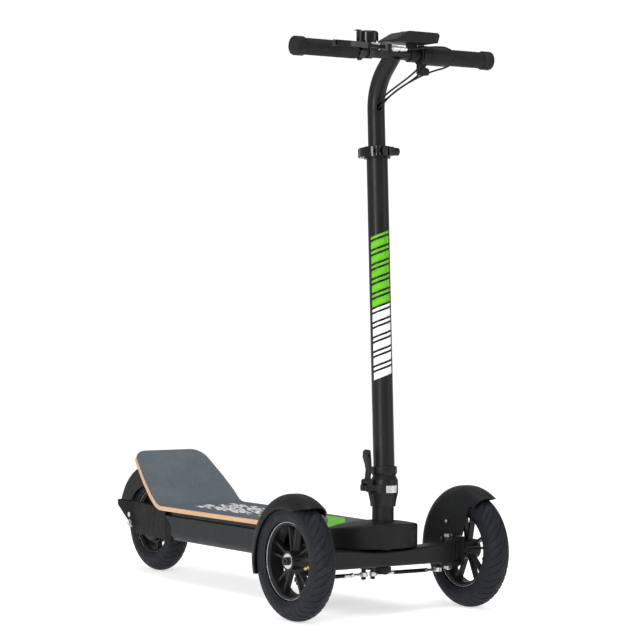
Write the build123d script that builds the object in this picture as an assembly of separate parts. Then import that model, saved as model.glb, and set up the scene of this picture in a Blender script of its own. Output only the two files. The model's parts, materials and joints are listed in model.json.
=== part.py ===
from build123d import *
import math
import os

# Three-wheeled electric stand-up board. Millimetres, +Z up, the rider faces -Y and +X is the rider's left.
# Every piece is drawn from the ground point under the front axle; write_parts moves all of them so that the
# origin is on the ground under the middle of the whole machine.

# ---- overall sizes ----
wheelbase = 932.0
half_track = 224.0          # front wheel planes are at X = +/- this
front_tyre_r = 125.0        # 10 inch tyre
rear_tyre_r = 118.0
tyre_section_r = 27.0       # 2 inch wide section
bar_half_length = 252.0
bar_z = 1178.0              # height of the handlebar's centre
bar_y = -23.0

# ---- clearances ----
shaft_gap = 0.05            # radial, turning shaft in its hole
face_gap = 0.3              # between faces that move past each other
trim_gap = 0.5              # between covers that meet at a seam
body_gap = 1.5              # between a tube and the cover it passes through

# ---- wheels ----
tyre_wall = 4.5
front_bead_r = 81.0
rear_bead_r = 77.0
rim_half_width = 18.0
rim_lip = 2.5
rim_well = 5.0              # depth of the well below the lips
rim_wall = 4.5
front_hub_r = 21.0
front_hub_half = 20.0
bearing_r = 16.0
bearing_width = 10.0
stub_r = 6.0
spoke_pairs = 5
spoke_width = 5.0
spoke_depth = 13.0
spoke_spread_deg = 11.0
valve_r = 3.0
valve_cap_r = 4.2
valve_length = 46.0

# ---- front beam and steering ----
kingpin_x = 170.0
kingpin_r = 5.0
kingpin_boss_r = 16.0
beam_bottom = 101.0
beam_mid_top = 135.5
beam_end_top = 146.0
beam_half_depth = 22.0
beam_round = 7.0
column_y = 5.0              # the steering column's vertical axis
spindle_r = 12.5
head_tube_r = 21.5
head_tube_top = 150.0
neck_half_width = 50.0
ear_thickness = 8.0
web_thickness = 7.0
web_gap = 1.0               # knuckle web inside the tyre's inner wall
arm_x = 12.0                # steering arms: outward and rearward reach, the same on column and knuckles
arm_y = 52.0
link_z = 78.0               # height of the tie rods
link_r = 4.2
eye_r = 9.0
eye_height = 9.0
stud_r = 3.0
open_eye_gap = 0.6          # radial, at the pivot where the steering linkage is opened

# ---- column, fold joint and mast ----
stem_r = 22.9
cup_bottom = 227.0
cup_top = 273.0
cup_foot_r = 26.5
cup_top_r = 32.0
beak_x = 55.0
fold_pin_r = 4.0
fold_pin_back = 36.0        # fold pin behind the column axis
fold_pin_lift = 2.0         # above the cup's top face
fold_ear_r = 8.5
fold_ear_half = 10.7
mast_rake_deg = 2.9
mast_base_z = 290.0         # where the raked mast axis starts
mast_base_y = 1.2
head_foot_r = 29.0
head_waist_r = 24.0
head_collar_r = 27.5
head_collar_top = 21.0      # along the mast from its base
mast_r = 22.5
mast_wall = 2.5
mast_length = 693.0
guide_length = 60.0         # narrow bore at the mast's top
mast_slit = 21.0            # length of the slit that lets the mast's top close on the post
post_r = 18.5
post_wall = 2.5
post_hidden = 215.0         # post inside the mast
neck_angle_deg = 45.0       # post's top end, from upright
neck_bend_r = 110.0
clamp_height = 25.0
clamp_wall = 6.0
skewer_back = 34.0          # skewer in front of the mast axis
lever_r = 33.5
lever_wall = 4.5

# ---- deck and chassis ----
deck_front = 75.0
deck_top = 176.0            # wood top; the grip tape lies on it
deck_wood = 10.0
tape_thickness = 1.0
deck_front_half = 100.0
deck_rear_half = 116.0
kick_y = 744.0
kick_deg = 38.0
kick_length = 193.0
kick_tip_half = 93.0
kick_corner_r = 38.0
kick_bend_r = 45.0
plate_thickness = 11.0
plate_half = 104.0
tray_half = 112.0
tray_bottom = 99.0
tray_wall = 3.0
tray_round = 16.0
tray_front = 95.0
tray_rear_low = 688.0
tray_rear_high = 716.0
tray_knee_z = 133.0
nose_r = 105.0
nose_y = 58.0
nose_bottom = 141.5
nose_peak = 197.0
nose_shoulder = 177.0       # height of the dome at its rear corners
nose_wall = 3.0

# ---- rear end ----
arm_tip_half = 77.0
arm_thickness = 5.0
arm_tip_behind_axle = 70.0
arm_straight_before_axle = 17.0
axle_r = 6.0
motor_r = 46.0
motor_half = 26.0
motor_boss_r = 24.0
motor_boss_half = 32.0
disc_r = 58.0
disc_thickness = 2.0
fender_wall = 3.0
rear_fender_r = 137.0
rear_fender_half = 38.0
rear_fender_skirt = 50.0
rear_fender_end_deg = 20.0
rear_fender_start_deg = 165.0

# ---- front fenders ----
front_fender_r = 137.5
fender_side_gap = 1.5
fender_plate_gap = 3.5
fender_front_deg = 33.0
fender_rear_deg = 107.0
fender_round = 27.0
skirt_cut_x = 9.0            # the skirt's wave reaches this far up into the crown

# ---- handlebar ----
bar_r = 12.7
bar_bore_r = 10.5
grip_r = 17.5
grip_end_r = 20.0
grip_end_length = 24.0
grip_cap = 3.0
right_grip_inner = 100.0
left_grip_inner = 144.0
throttle_r = 20.0
perch_r = 16.5
lever_depth = 11.5
bell_x = -66.0
bell_r = 20.5
bell_band_r = 15.2
striker_x = -90.5
bell_pin_z = 19.7            # above the bar's centre
paddle_ring_r = 21.0
display_height = 23.5
display_lift = 0.7           # between the throttle's ring and the display's underside
adjuster_end = 3.0
cable_r = 2.0
slot_x = -4.0               # the slot in the post that takes the cables
slot_z = 1071.0

arm_tip_y = wheelbase + arm_tip_behind_axle
arm_straight_y = wheelbase - arm_straight_before_axle
mid_tip = (rear_fender_r * math.cos(math.radians(rear_fender_end_deg)) + wheelbase)
mid_y = (mid_tip - front_tyre_r) / 2
fold_pin_y = column_y + fold_pin_back
fold_pin_z = cup_top + fold_pin_lift
plate_top = deck_top - deck_wood
tray_top = plate_top - plate_thickness


def rod_z(r, z0, z1, x=0.0, y=0.0):
    return Pos(x, y, (z0 + z1) / 2) * Cylinder(r, z1 - z0)


def rod_x(r, x0, x1, y=0.0, z=0.0):
    return Pos((x0 + x1) / 2, y, z) * Rot(0, 90, 0) * Cylinder(r, x1 - x0)


def rod_y(r, y0, y1, x=0.0, z=0.0):
    return Pos(x, (y0 + y1) / 2, z) * Rot(90, 0, 0) * Cylinder(r, y1 - y0)


def block(x0, x1, y0, y1, z0, z1):
    return Pos((x0 + x1) / 2, (y0 + y1) / 2, (z0 + z1) / 2) * Box(x1 - x0, y1 - y0, z1 - z0)


def plan(points, z0, z1):
    """A polygon in X, Y raised from z0 to z1."""
    return Pos(0, 0, z0) * extrude(make_face(Polyline(*points, close=True)), z1 - z0)


def side(points, x0, x1):
    """A polygon in Y, Z pushed from x0 to x1."""
    return Pos(x0, 0, 0) * extrude(Plane.YZ * make_face(Polyline(*points, close=True)), x1 - x0)


def front(points, y0, y1):
    """A polygon in X, Z pushed from y0 to y1."""
    return Pos(0, y1, 0) * extrude(Plane.XZ * make_face(Polyline(*points, close=True)), y1 - y0)


def turned(points):
    """A polygon in radius, Z turned about the Z axis."""
    return revolve(Plane.XZ * make_face(Polyline(*points, close=True)), Axis.Z)


def hex_z(flats, z0, z1, x=0.0, y=0.0):
    prism = extrude(RegularPolygon(flats / 2, 6, major_radius=False), z1 - z0)
    return Pos(x, y, z0) * prism


def hex_x(flats, x0, x1, y, z):
    prism = extrude(RegularPolygon(flats / 2, 6, major_radius=False), x1 - x0)
    return Pos(x0, y, z) * Rot(0, 90, 0) * prism


def mirrored(shape):
    return mirror(shape, about=Plane.YZ)


def on_mast(shape):
    """Carries a shape drawn about the Z axis onto the raked mast axis."""
    return Pos(0, mast_base_y, mast_base_z) * Rot(-mast_rake_deg, 0, 0) * shape


def polar(r, angle_deg):
    """Y, Z of a point of a wheel, with 0 degrees at the top and positive angles towards the rear."""
    a = math.radians(angle_deg)
    return (r * math.sin(a), r * math.cos(a))


# ---------------------------------------------------------------- wheels


def tyre(outer_r, bead_r):
    centre_r = outer_r - tyre_section_r
    section = Plane.XZ * Pos(0, centre_r) * (Circle(tyre_section_r) - Circle(tyre_section_r - tyre_wall))
    ring = revolve(section, Axis.X)
    return ring - rod_x(bead_r, -2 * tyre_section_r, 2 * tyre_section_r)


def rim_barrel(lip_r):
    w = rim_half_width
    low = lip_r - rim_well
    points = [
        (-w, lip_r), (-w + rim_lip, lip_r), (-w + 2 * rim_lip, low), (w - 2 * rim_lip, low), (w - rim_lip, lip_r),
        (w, lip_r), (w, low - 1), (w - rim_wall, low - rim_wall), (rim_wall - w, low - rim_wall), (-w, low - 1),
    ]
    return revolve(Plane.XZ * make_face(Polyline(*points, close=True)), Axis.X)


def bar_between(p, q, width, x0, x1):
    """A straight rib in the wheel's plane from point p to point q, each (Y, Z)."""
    dy = q[0] - p[0]
    dz = q[1] - p[1]
    length = math.hypot(dy, dz)
    angle = math.degrees(math.atan2(dz, dy))
    rib = Box(x1 - x0, length, width)
    return Pos((x0 + x1) / 2, (p[0] + q[0]) / 2, (p[1] + q[1]) / 2) * Rot(angle, 0, 0) * rib


def front_rim():
    inner_r = front_bead_r - rim_well - rim_wall
    shape = rim_barrel(front_bead_r) + rod_x(front_hub_r, -front_hub_half, front_hub_half)
    for pair in range(spoke_pairs):
        for lean in (-1, 1):
            middle = pair * 360 / spoke_pairs
            start = polar(front_hub_r - 2, middle + lean * spoke_spread_deg)
            end = polar(inner_r + 1.5, middle + lean * spoke_spread_deg)
            shape += bar_between(start, end, spoke_width, 2 - spoke_depth / 2, 2 + spoke_depth / 2)
    bore = rod_x(bearing_r - 3, -2 * front_hub_half, 2 * front_hub_half)
    pocket = rod_x(bearing_r, front_hub_half - bearing_width, 2 * front_hub_half)
    return shape - bore - pocket - mirrored(pocket)


def bearings():
    ring = rod_x(bearing_r, front_hub_half - bearing_width, front_hub_half)
    ring -= rod_x(stub_r + shaft_gap, 0, 2 * front_hub_half)
    return Compound(children=[ring, mirrored(ring)])


def valve():
    inner_r = front_bead_r - rim_well - rim_wall
    foot = Vector(4, *polar(inner_r, -92))
    lean = Vector(0.30, 0.84, -0.36).normalized()
    stem = Plane(origin=foot + lean * 1.8, z_dir=lean) * Pos(0, 0, valve_length / 2) * Cylinder(valve_r, valve_length)
    cap = Plane(origin=foot + lean * 16, z_dir=lean) * Pos(0, 0, 15) * Cylinder(valve_cap_r, 30)
    return stem + cap


def rear_rim():
    inner_r = rear_bead_r - rim_well - rim_wall
    shape = rim_barrel(rear_bead_r) + rod_x(motor_r + 4, -spoke_depth, spoke_depth)
    for turn in range(6):
        start = polar(motor_r + 1, turn * 60)
        end = polar(inner_r + 1.5, turn * 60)
        shape += bar_between(start, end, 9, -spoke_depth / 2, spoke_depth / 2)
    return shape - rod_x(motor_r, -2 * motor_half, 2 * motor_half)


def hub_motor():
    drum = chamfer(rod_x(motor_r, -motor_half, motor_half).edges(), 3)
    drum += rod_x(motor_boss_r, -motor_boss_half, motor_boss_half)
    return drum - rod_x(axle_r + shaft_gap, -2 * motor_half, 2 * motor_half)


def brake_disc():
    disc = rod_x(disc_r, motor_boss_half, motor_boss_half + disc_thickness)
    disc -= rod_x(axle_r + 6, 0, 2 * motor_boss_half)
    for turn in range(8):
        y, z = polar(disc_r - 9, turn * 45)
        disc -= rod_x(4, 0, 2 * motor_boss_half, y, z)
    return disc


# ---------------------------------------------------------------- front beam, knuckles, linkage


def front_beam():
    end = kingpin_x
    top = [(-end, beam_end_top), (-end / 2, beam_mid_top + 3), (0, beam_mid_top), (end / 2, beam_mid_top + 3),
           (end, beam_end_top)]
    outline = Polyline((end, beam_end_top), (end, beam_bottom), (-end, beam_bottom), (-end, beam_end_top))
    face = make_face(outline + Spline(*top))
    bar = extrude(Plane.XZ * face, beam_half_depth, both=True)
    long_edges = bar.edges().filter_by(lambda e: e.length > end)
    bar = fillet(long_edges, beam_round)
    for x in (-end, end):
        bar += rod_z(kingpin_boss_r, beam_bottom, beam_end_top, x)
    bar += rod_z(head_tube_r, beam_bottom, head_tube_top - face_gap, 0, column_y)
    bar += block(-neck_half_width, neck_half_width, beam_half_depth - 4, tray_front, beam_bottom + 6, tray_top)
    bar -= rod_z(spindle_r + shaft_gap, 0, 200, 0, column_y)
    bar -= rod_z(stem_r + body_gap, head_tube_top - face_gap, 200, 0, column_y)
    for x in (-end, end):
        bar -= rod_z(kingpin_r, 0, 200, x)
        bar -= block(x - 40, x + 40, -60, 60, 0, 200) - rod_z(kingpin_boss_r, 0, 200, x) - block(
            -abs(x), abs(x), -60, 60, 0, 200)
    return bar


def kingpins():
    ear_top = beam_end_top + face_gap + ear_thickness + face_gap
    ear_low = beam_bottom - face_gap - ear_thickness - face_gap
    pieces = []
    for x in (-kingpin_x, kingpin_x):
        bolt = rod_z(kingpin_r, ear_low - 9, ear_top, x) + hex_z(17, ear_top, ear_top + 6, x)
        nut = hex_z(17, ear_low - 7, ear_low, x) - rod_z(kingpin_r, 0, 200, x)
        pieces += [bolt, nut]
    return Compound(children=pieces)


def steering_stud(x, y, top, clear):
    """Ball-joint stud hanging down from an arm, with a collar above the rod's eye."""
    eye_top = link_z + eye_height / 2
    eye_low = link_z - eye_height / 2
    stud = rod_z(stud_r, eye_low - 7, top, x, y) + rod_z(stud_r + 2, eye_top + clear, top, x, y)
    return stud + hex_z(10, eye_low - 6, eye_low - clear, x, y)


def knuckle():
    """The left knuckle: a yoke on the kingpin, the stub axle, the steering arm and the fender's tab."""
    x = kingpin_x
    web_x = half_track - tyre_section_r - web_gap - 2
    web_out = web_x + web_thickness
    low1 = beam_bottom - face_gap
    low0 = low1 - ear_thickness
    high0 = beam_end_top + face_gap
    high1 = high0 + ear_thickness
    shape = block(web_x, web_out, -18, 18, low0, high1)
    for z0, z1 in ((low0, low1), (high0, high1)):
        shape += block(x, web_x + 1, -kingpin_boss_r, kingpin_boss_r, z0, z1)
        shape += rod_z(kingpin_boss_r, z0, z1, x)
        shape -= rod_z(kingpin_r + shaft_gap, z0 - 1, z1 + 1, x)
    shape += plan([(x - 6, 8), (x + 12, 8), (x + arm_x + 8, arm_y), (x + arm_x - 8, arm_y)], low0, low1)
    shape += rod_z(8, low0, low1, x + arm_x, arm_y)
    shape -= rod_z(kingpin_r + shaft_gap, low0 - 1, low1 + 1, x)
    shape += steering_stud(x + arm_x, arm_y, low0 + 1, face_gap)
    hub_in = half_track - front_hub_half
    hub_out = half_track + front_hub_half
    wheel_z = front_tyre_r
    shape += rod_x(10, web_x, hub_in - face_gap, 0, wheel_z)
    shape += rod_x(stub_r, web_x, hub_out + 2, 0, wheel_z)
    head = rod_x(8.5, hub_out + face_gap, hub_out + 6, 0, wheel_z)
    head -= rod_x(3.5, hub_out + 2, hub_out + 8, 0, wheel_z)
    shape += head
    tab = side([(10, high0 - 10), (18, high1), (22, 192), (40, 192), (40, 172), (18, low1 + 20)], web_x, web_x + 4)
    return shape + tab


def fender_outline():
    """The edge of the fender's inner plate, as Y, Z about the wheel's centre."""
    knuckle_top = beam_end_top + face_gap + ear_thickness + 2 - front_tyre_r
    return [(-88, 160), (-88, 98), (-44, 96), (-34, 73), (-25, 48), (-20, knuckle_top), (50, knuckle_top), (66, 8),
            (78, -6), (108, -30), (170, -40), (170, 160)]


def skirt_outline():
    """The wavy edge of the fender's outer skirt, as radius and angle from the top."""
    return [(142, -38), (128, -30), (117, -23), (108, -14), (106, -4), (107, 14), (107, 40), (107, 70), (109, 92),
            (114, 112)]


def front_fender():
    """The left fender: a crown over the tyre, a wavy outer skirt and a deep inner plate bolted to the knuckle."""
    inner = -tyre_section_r - fender_plate_gap - fender_wall
    outer = tyre_section_r + fender_side_gap + fender_wall
    deep = 30.0
    profile = make_face(Polyline((inner, deep), (inner, front_fender_r), (outer, front_fender_r), (outer, deep),
                                 close=True))
    profile = fillet(profile.vertices().group_by(Axis.Y)[-1], fender_round)
    hollow = make_face(Polyline(
        (inner + fender_wall, 0), (inner + fender_wall, front_fender_r - fender_wall),
        (outer - fender_wall, front_fender_r - fender_wall), (outer - fender_wall, 0), close=True))
    hollow = fillet(hollow.vertices().group_by(Axis.Y)[-1], fender_round - fender_wall)
    shell = Rot(fender_front_deg, 0, 0) * (Plane.XZ * (profile - hollow))
    sweep_deg = fender_front_deg + fender_rear_deg
    cover = revolve(shell, Axis((0, 0, 0), (-1, 0, 0)), revolution_arc=sweep_deg)
    rim_points = [polar(r, a) for r, a in skirt_outline()]
    centre_side = [polar(20, 112), polar(20, -40)]
    wave = make_face(Spline(*rim_points) + Polyline(rim_points[-1], *centre_side, rim_points[0]))
    cover -= Pos(skirt_cut_x, 0, 0) * extrude(Plane.YZ * wave, outer + 1 - skirt_cut_x)
    keep = side(fender_outline(), inner - 1, inner + fender_wall + fender_round)
    skirt_part = block(inner + fender_wall + 0.01, 100, -300, 300, -300, 300)
    crown_part = block(-100, 100, -300, 300, -300, 300) - rod_x(front_fender_r - fender_round, -100, 100)
    cover = cover & (keep + skirt_part + crown_part)
    cover = Pos(half_track, 0, front_tyre_r) * cover
    bolt = rod_x(4.5, half_track + inner - 2.5, half_track + inner + 1, 31, 184)
    return cover + bolt


def tie_rod():
    """The left tie rod: eye, rod with a threaded neck at each end, eye."""
    x0 = arm_x
    x1 = kingpin_x + arm_x
    y0 = column_y + arm_y
    y1 = arm_y
    z = link_z
    length = math.hypot(x1 - x0, y1 - y0)
    turn = math.degrees(math.atan2(y1 - y0, x1 - x0))
    neck = 34.0
    bar = rod_x(stud_r, eye_r - 2, length - eye_r + 2) + rod_x(link_r, neck, length - neck)
    bar += hex_x(9, neck - 6, neck, 0, 0) + hex_x(9, length - neck, length - neck + 6, 0, 0)
    bar += rod_z(eye_r, -eye_height / 2, eye_height / 2)
    bar += rod_z(eye_r, -eye_height / 2, eye_height / 2, length)
    bar -= rod_z(stud_r + open_eye_gap, -eye_height, eye_height)
    bar -= rod_z(stud_r + shaft_gap, -eye_height, eye_height, length)
    return Pos(x0, y0, z) * Rot(0, 0, turn) * bar


def steering_shaft():
    shaft = rod_z(spindle_r, beam_bottom - 17, head_tube_top + 1, 0, column_y)
    stem = rod_z(stem_r, head_tube_top, cup_bottom + 23, 0, column_y)
    stem -= rod_z(stem_r - 3, head_tube_top + 8, 400, 0, column_y)
    return shaft + stem


def pitman_arm():
    """Clamped on the spindle's foot, below the beam, with a stud for each tie rod."""
    top = beam_bottom - 3
    low = top - 8
    ring = rod_z(spindle_r + 6, beam_bottom - 14, top, 0, column_y)
    eye_y = column_y + arm_y
    arm = plan([(-14, column_y), (14, column_y), (arm_x + 8, eye_y), (-arm_x - 8, eye_y)], low, top)
    arm += ring
    for x in (-arm_x, arm_x):
        arm += rod_z(8, low, top, x, eye_y) + steering_stud(x, eye_y, low + 1, face_gap)
    return arm - rod_z(spindle_r, 0, 200, 0, column_y)


# ---------------------------------------------------------------- fold joint, mast, post


def fold_cup():
    mid = cup_bottom + 9
    r0 = cup_foot_r
    cup = turned([(stem_r, cup_bottom), (r0, cup_bottom), (r0 + 1, mid), (cup_top_r - 1, cup_top - 21),
                  (cup_top_r, cup_top - 16), (cup_top_r, cup_top), (10, cup_top), (10, cup_bottom + 23),
                  (stem_r, cup_bottom + 23)])
    cup = Pos(0, column_y, 0) * cup
    beak = plan([(0, column_y - 20), (-30, column_y - 16), (-beak_x + 3, column_y - 10), (-beak_x, column_y - 6),
                 (-beak_x, column_y + 6), (-beak_x + 3, column_y + 10), (-30, column_y + 16), (0, column_y + 20)],
                cup_top - 12, cup_top)
    rib = front([(-20, cup_bottom + 12), (-cup_top_r, cup_top - 18), (-beak_x + 6, cup_top - 10), (-20, cup_top - 6)],
                column_y - 6, column_y + 6)
    bore = rod_z(stem_r, 0, cup_bottom + 23, 0, column_y)
    cup += (beak + rib) - bore - rod_z(10.5, 0, 400, 0, column_y)
    for x in (-fold_ear_half - face_gap - 9, fold_ear_half + face_gap):
        ear = rod_x(fold_ear_r, x, x + 9, fold_pin_y, fold_pin_z)
        ear += block(x, x + 9, fold_pin_y - 16, fold_pin_y + fold_ear_r, fold_pin_z - 17, cup_top - face_gap)
        cup += ear - bore
    cup -= rod_x(fold_pin_r, -40, 40, fold_pin_y, fold_pin_z)
    cup -= rod_x(fold_ear_r + face_gap, -fold_ear_half - face_gap, fold_ear_half + face_gap, fold_pin_y, fold_pin_z)
    for y in (column_y - 13, column_y + 9):
        lug = rod_y(6, y, y + 4, -42, cup_top + 6.5) + block(-48, -36, y, y + 4, cup_top - 4, cup_top + 6.5)
        cup += lug - rod_y(2.5, y - 1, y + 5, -42, cup_top + 6.5)
    return cup


def fold_pin():
    reach = fold_ear_half + face_gap + 9
    pin = rod_x(fold_pin_r, -reach, reach, fold_pin_y, fold_pin_z)
    return pin + rod_x(fold_pin_r + 2.5, reach, reach + 3, fold_pin_y, fold_pin_z) + rod_x(
        fold_pin_r + 2.5, -reach - 3, -reach, fold_pin_y, fold_pin_z)


def latch_plate():
    """Bright keeper plate that wraps the cup's front."""
    ring = rod_z(cup_top_r + 1.6, cup_top - 16, cup_top - 1, 0, column_y)
    ring -= rod_z(cup_top_r, 0, 400, 0, column_y)
    ring &= block(-14, 14, -60, column_y, 0, 400)
    return ring + rod_y(3.5, column_y - cup_top_r - 3, column_y - cup_top_r, 0, cup_top - 8.5)


def fold_lever():
    z = cup_top + 6.5
    lever = rod_y(6, column_y - 8.7, column_y + 8.7, -42, z)
    lever += rod_y(2.45, column_y - 13, column_y + 13, -42, z)
    blade = [(-44, z), (-38, z), (-34.5, z + 30), (-36, z + 50), (-38, z + 66), (-43, z + 68), (-48, z + 64),
             (-49, z + 52), (-44, z + 38), (-41, z + 26)]
    lever += front(blade, column_y - 7, column_y + 7)
    return lever - rod_y(3.2, -60, 60, -43, z + 56)


def fold_head():
    foot = -22.0
    head = turned([(0, foot), (head_foot_r, foot), (head_foot_r, -9), (head_waist_r, 2), (head_collar_r, 7),
                   (head_collar_r, head_collar_top - 2), (head_collar_r - 2, head_collar_top), (0, head_collar_top)])
    head = on_mast(head - rod_z(mast_r, -5, 60) - rod_z(10, -40, 10))
    ear = block(-fold_ear_half, fold_ear_half, 18, fold_pin_y, cup_top + face_gap, fold_pin_z + 8)
    ear += rod_x(fold_ear_r - 0.5, -fold_ear_half, fold_ear_half, fold_pin_y, fold_pin_z)
    head -= block(-100, 100, -100, 100, 200, cup_top + face_gap)
    head += ear - on_mast(rod_z(mast_r, -5, 60))
    return head - rod_x(fold_pin_r + shaft_gap, -40, 40, fold_pin_y, fold_pin_z)


def mast_tube():
    tube = rod_z(mast_r, -5, mast_length)
    tube -= rod_z(mast_r - mast_wall, -6, mast_length - guide_length)
    tube -= rod_z(post_r + shaft_gap, 0, mast_length + 10)
    tube -= block(-1.5, 1.5, -40, 0, mast_length - mast_slit, mast_length + 10)
    return on_mast(tube)


def clamp_middle():
    return mast_length - 9.5


def clamp_collar():
    z0 = clamp_middle() - clamp_height / 2
    z1 = z0 + clamp_height
    ring = rod_z(mast_r + clamp_wall, z0, z1) + block(-14.7, 14, -skewer_back - 8, -mast_r, z0 + 3, z1 - 3)
    ring -= rod_z(post_r + face_gap, z0 - 1, z1 + 1)
    ring -= rod_z(mast_r, z0 - 1, mast_length)
    ring -= block(-2, 2, -60, 0, z0 - 1, z1 + 1)
    ring -= rod_x(3.0, -40, 40, -skewer_back, clamp_middle())
    return on_mast(ring)


def clamp_bolt():
    """The skewer, the eye and pin that the lever turns on, and the knob nut."""
    z = clamp_middle()
    x = lever_pivot_x()
    bolt = rod_x(3.0, x, 30, -skewer_back, z)
    bolt += rod_z(5.5, z - 3.8, z + 3.8, x, -skewer_back) + rod_z(2.5, z - 11, z + 11, x, -skewer_back)
    knob = rod_x(8.5, 14, 29, -skewer_back, z)
    return on_mast(bolt + knob)


def lever_pivot_x():
    return -23.5


def clamp_lever():
    """Cam fork on the skewer's pin, and a handle that wraps round the left of the collar."""
    z = clamp_middle()
    x = lever_pivot_x()
    fork = rod_z(8.5, z - 10, z + 10, x, -skewer_back) - rod_z(60, z - 4.2, z + 4.2)
    wrap = rod_z(lever_r + lever_wall, z - 10, z + 10) - rod_z(lever_r, z - 20, z + 20)
    keep = plan([(-18, -34), (-60, -60), (-60, 60), (-20, 60), (-12, 20)], z - 20, z + 20)
    web = wrap & keep
    web -= rod_z(9.5, z - 4.2, z + 4.2, x, -skewer_back)
    web -= rod_z(5.8, z - 4.2, z + 4.2, x, -skewer_back)
    lever = fork + web
    tip = Pos(-lever_r * 0.62, lever_r * 0.92, z) * Rot(0, 0, 28) * Box(14, 5, 20)
    lever += tip - rod_z(lever_r - 1, z - 20, z + 20)
    return on_mast(lever - rod_z(2.5 + shaft_gap, z - 20, z + 20, x, -skewer_back))


def mast_point(length):
    rake = math.radians(mast_rake_deg)
    return (mast_base_y + length * math.sin(rake), mast_base_z + length * math.cos(rake))


def post_corner():
    """Where the raked mast axis meets the post's leaning neck."""
    rake = math.tan(math.radians(mast_rake_deg))
    lean = math.tan(math.radians(neck_angle_deg))
    height = (mast_base_y - bar_y + (bar_z - mast_base_z) * rake) / (lean + rake)
    return (bar_y + height * lean, bar_z - height)


def post_tube():
    start = mast_point(mast_length - post_hidden)
    corner = post_corner()
    points = [(0, *start), (0, *corner), (0, bar_y, bar_z)]
    path = FilletPolyline(*points, radius=neck_bend_r)
    first = Plane(origin=path @ 0, z_dir=path % 0)
    ring = first * (Circle(post_r) - Circle(post_r - post_wall))
    post = sweep(ring, path)
    post -= rod_x(bar_r, -60, 60, bar_y, bar_z)
    return post - cable_slot()


def cable_slot():
    """The slot in the post's front that takes the cables."""
    slot = Pos(0, 0, -5) * rod_y(5.5, 0, 60) + Pos(0, 0, 5) * rod_y(5.5, 0, 60) + block(-5.5, 5.5, 0, 60, -5, 5)
    centre_y = mast_point(slot_z - mast_base_z)[0]
    return Pos(slot_x, centre_y - 60, slot_z) * slot


# ---------------------------------------------------------------- handlebar


def at_bar(shape):
    return Pos(0, bar_y, bar_z) * shape


def handlebar():
    return at_bar(rod_x(bar_r, -bar_half_length, bar_half_length) - rod_x(bar_bore_r, -300, 300))


def grip(inner):
    """The left grip, from its inner end to a closed, flanged outer end."""
    end = bar_half_length + grip_cap
    sleeve = rod_x(grip_r, inner, end) + chamfer(rod_x(grip_end_r, end - grip_end_length, end).edges(), 1.5)
    return at_bar(sleeve - rod_x(bar_r, 0, bar_half_length))


def brake_perch():
    ring = rod_x(perch_r, -97, -81)
    body = plan([(-97, -12), (-81, -12), (-62, -22), (-40, -30), (-38, -46), (-52, -49), (-70, -49), (-84, -30),
                 (-97, -24)], -2, 13)
    body = fillet(body.edges().filter_by(Axis.Z), 3)
    perch = ring + body + rod_z(5, -20, 0, -89, 0)
    perch -= rod_x(bar_r, -200, 0)
    pivot_x, pivot_y = brake_pivot()
    slot = rod_z(11, 1.7, 9.3, pivot_x, pivot_y) + plan([(-130, -60), (pivot_x, pivot_y - 30), (pivot_x, pivot_y + 9),
                                                         (-130, pivot_y + 12)], 1.7, 9.3)
    perch -= slot
    perch += rod_z(3, -4, 15, pivot_x, pivot_y)
    return at_bar(perch)


def brake_pivot():
    return (-58.0, -38.0)


def brake_lever():
    x, y = brake_pivot()
    path = FilletPolyline((x, y), (-104, y - 13), (-150, y - 19), (-190, y - 17), radius=60)
    thin = Pos(0, 0, 2) * extrude(trace(path, line_width=9), 7)
    deep = Pos(0, 0, 5.5 - lever_depth / 2) * extrude(trace(path, line_width=9), lever_depth)
    blade = thin + (deep & block(-300, -96, -200, 200, -50, 50))
    lever = blade + rod_z(9, 2, 9, x, y) + Pos(-190, y - 17, 5.5) * Sphere(6.5)
    return at_bar(lever - rod_z(3 + shaft_gap, -10, 20, x, y))


def cable_adjuster():
    y = brake_pivot()[1] - 1
    body = rod_x(4, -38, adjuster_end, y, 5.5) + rod_x(6, -34, -20, y, 5.5) + rod_x(5, -14, -6, y, 5.5)
    return at_bar(body - rod_x(cable_r + 0.2, adjuster_end - 5, adjuster_end + 5, y, 5.5))


def bell_body():
    ring = rod_x(bell_band_r, bell_x - 6, bell_x + 6)
    top = bell_band_r
    bell = ring + rod_z(5, 0, top + 4, bell_x) - rod_x(bar_r, -bar_half_length, 0)
    bell += rod_z(16, top + 2.5, top + 5.5, bell_x)
    dome = rod_z(bell_r, top + 5.5, top + 27, bell_x)
    bell += fillet(dome.edges().group_by(Axis.Z)[-1], 5)
    bell += block(striker_x - 2.5, bell_x - 10, -2.5, 2.5, top + 2.5, top + 5.5)
    return at_bar(bell + rod_y(1.5, -6, 6, striker_x, bell_pin_z))


def bell_striker():
    """Sprung thumb lever beside the bell, forked over the pin on the bell's base."""
    high = bell_band_r + 28
    low = bell_pin_z - 2.3
    arm = block(striker_x - 2.5, striker_x + 2.3, -6, 6, low, high)
    arm -= block(striker_x - 9, striker_x + 9, -2.9, 2.9, 0, bell_pin_z + 6)
    arm += block(striker_x - 8, striker_x + 2.3, -6, 6, high - 2, high)
    return at_bar(arm - rod_y(1.5 + shaft_gap, -20, 20, striker_x, bell_pin_z))


def display_levels():
    """Underside and top of the display's case, above the bar's centre."""
    low = paddle_ring_r + display_lift
    return low, low + display_height


def display_case():
    low, high = display_levels()
    shape = front([(-28, low + 2), (4, high - 4), (12, high), (86, high), (91, high - 5), (86, low + 2), (70, low),
                   (-12, low)], -38, 26)
    shape = fillet(shape.edges().filter_by(Axis.Y), 1.5)
    shape -= block(28, 84, -30, 18, high - 2, high + 1)
    shape -= rod_z(4.5 + face_gap, high - 6, high + 1, 18, -6)
    mount = rod_x(16, 36, 54) + block(36, 54, -8, 8, 0, low + 1)
    return at_bar(shape + (mount - rod_x(bar_r, 0, 100)))


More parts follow.
